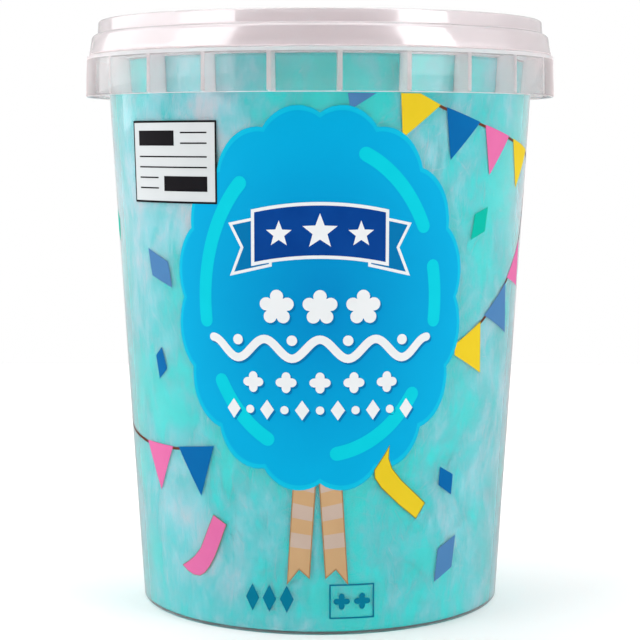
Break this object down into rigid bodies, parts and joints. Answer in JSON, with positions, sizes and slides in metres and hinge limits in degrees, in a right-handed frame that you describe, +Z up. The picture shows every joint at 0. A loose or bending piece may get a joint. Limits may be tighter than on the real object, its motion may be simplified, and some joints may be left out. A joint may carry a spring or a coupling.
{
  "type": "sealed clear tub of cotton candy",
  "caption": "Clear tapered tub with a ribbed tamper-evident skirt and a stackable snap lid, filled to the lid with fluffy spun-sugar floss.",
  "frame": {"origin": "middle of the underside of the base, on the surface that the tub stands on", "axes": "+Z up along the tub's axis, -Y towards the printed front"},
  "size_m": [0.12, 0.1199, 0.1483],
  "materials": {
    "clear_tub": "clear injection-moulded polypropylene, faintly milky, printed on the outside",
    "clear_lid": "clear injection-moulded polypropylene, faintly milky, bare",
    "floss": "pale cyan spun sugar, matt and fibrous"
  },
  "bodies": {
    "root": {"tub": "clear_tub", "lid": "clear_lid", "cotton_candy": "floss"}
  },
  "joints": []
}
